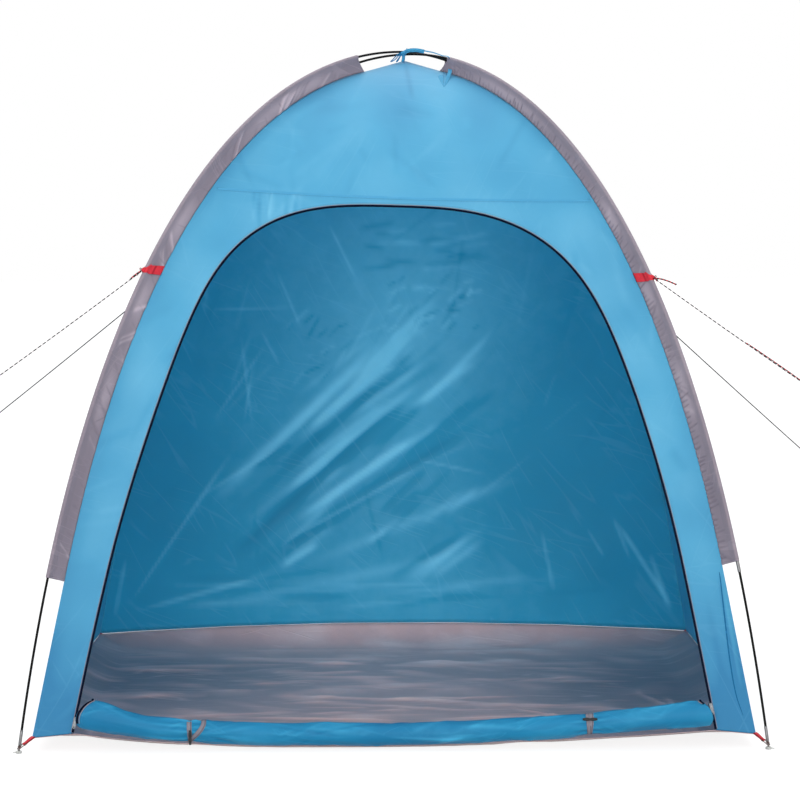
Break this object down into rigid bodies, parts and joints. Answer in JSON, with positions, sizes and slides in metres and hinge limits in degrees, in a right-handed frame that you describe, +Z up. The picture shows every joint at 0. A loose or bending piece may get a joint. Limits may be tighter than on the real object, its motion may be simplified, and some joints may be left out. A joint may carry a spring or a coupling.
{
  "type": "storage tent",
  "caption": "Pitched dome tent for storage: crossed poles in wide sleeves, an arched door rolled down on its sill, a groundsheet, corner loops and taut guy ropes.",
  "frame": {"origin": "on the ground, in the middle of the four pole feet, the centre of the underside of the box without the guy ropes", "axes": "+Z up; the door faces -Y; +X is to the right of someone who looks in through the door"},
  "size_m": [2.7093, 2.4212, 1.815],
  "materials": {
    "pole": "black, slightly glossy rods with plain metal ferrules and tips",
    "foot_cap": "pale moulded plastic",
    "sleeve_cloth": "mauve-grey woven cloth, gathered",
    "wall_cloth": "thin sky-blue woven cloth that lets light through",
    "floor_cloth": "coated mauve-grey cloth with fold lines",
    "door_cloth": "thin sky-blue woven cloth in a soft roll",
    "zip": "near-black coil and tape",
    "zip_metal": "plain zip metal",
    "tie_webbing": "narrow grey webbing",
    "toggle": "black barrel toggle",
    "strap_webbing": "red webbing",
    "loop_cord": "thin brown elastic cord",
    "guy_cord": "thin dark cord with a pale fleck",
    "tie_tape": "narrow blue tape"
  },
  "bodies": {
    "tent": {"pole_left_section_1": "pole", "pole_left_section_2": "pole", "pole_left_section_3": "pole", "pole_left_section_4": "pole", "pole_left_section_5": "pole", "pole_left_section_6": "pole", "pole_left_section_7": "pole", "pole_left_section_8": "pole", "pole_left_section_9": "pole", "pole_right_section_1": "pole", "pole_right_section_2": "pole", "pole_right_section_3": "pole", "pole_right_section_4": "pole", "pole_right_section_5": "pole", "pole_right_section_6": "pole", "pole_right_section_7": "pole", "pole_right_section_8": "pole", "pole_right_section_9": "pole", "foot_cap_front_left": "foot_cap", "foot_cap_front_right": "foot_cap", "foot_cap_back_right": "foot_cap", "foot_cap_back_left": "foot_cap", "sleeve_front_left": "sleeve_cloth", "sleeve_front_right": "sleeve_cloth", "sleeve_back_right": "sleeve_cloth", "sleeve_back_left": "sleeve_cloth", "front_wall": "wall_cloth", "right_wall": "wall_cloth", "back_wall": "wall_cloth", "left_wall": "wall_cloth", "groundsheet": "floor_cloth", "rolled_door": "door_cloth", "door_zip": "zip", "door_tie_left": "tie_webbing", "door_tie_right": "tie_webbing", "corner_strap_front_left": "strap_webbing", "corner_strap_front_right": "strap_webbing", "corner_strap_back_right": "strap_webbing", "corner_strap_back_left": "strap_webbing", "corner_loop_front_left": "loop_cord", "corner_loop_front_right": "loop_cord", "corner_loop_back_right": "loop_cord", "corner_loop_back_left": "loop_cord", "guy_patch_front_left": "strap_webbing", "guy_patch_front_right": "strap_webbing", "guy_patch_back_right": "strap_webbing", "guy_patch_back_left": "strap_webbing", "guy_rope_front_left": "guy_cord", "guy_rope_front_right": "guy_cord", "guy_rope_back_right": "guy_cord", "guy_rope_back_left": "guy_cord", "crossing_tape": "tie_tape"},
    "slider_left": {"zip_slider_left": "zip_metal"},
    "slider_right": {"zip_slider_right": "zip_metal"},
    "pull_left": {"zip_pull_left": "zip_metal"},
    "pull_right": {"zip_pull_right": "zip_metal"},
    "toggle_left": {"toggle_left": "toggle"},
    "toggle_right": {"toggle_right": "toggle"}
  },
  "joints": [
    {"name": "left_slider_slide", "type": "slide", "parent": "tent", "child": "slider_left", "axis": [0.2028, 0.1854, 0.9615], "range_m": [0, 0.24]},
    {"name": "right_slider_slide", "type": "slide", "parent": "tent", "child": "slider_right", "axis": [-0.1798, 0.1862, 0.9659], "range_m": [0, 0.24]},
    {"name": "left_pull_hinge", "type": "hinge", "parent": "slider_left", "child": "pull_left", "pos_m": [-0.81074, -0.9185, 0.0817], "axis": [-0.9792, 0.0384, 0.1991], "range_deg": [0, 150]},
    {"name": "right_pull_hinge", "type": "hinge", "parent": "slider_right", "child": "pull_right", "pos_m": [0.80988, -0.91349, 0.10772], "axis": [-0.9837, -0.034, -0.1765], "range_deg": [0, 150]},
    {"name": "left_toggle_hinge", "type": "hinge", "parent": "tent", "child": "toggle_left", "pos_m": [-0.517, -0.95585, 0.03814], "axis": [0, -1, 0], "range_deg": [-30, 30]},
    {"name": "right_toggle_hinge", "type": "hinge", "parent": "tent", "child": "toggle_right", "pos_m": [0.499, -0.95253, 0.07875], "axis": [0, -0.848, 0.5299], "range_deg": [-30, 30]}
  ]
}
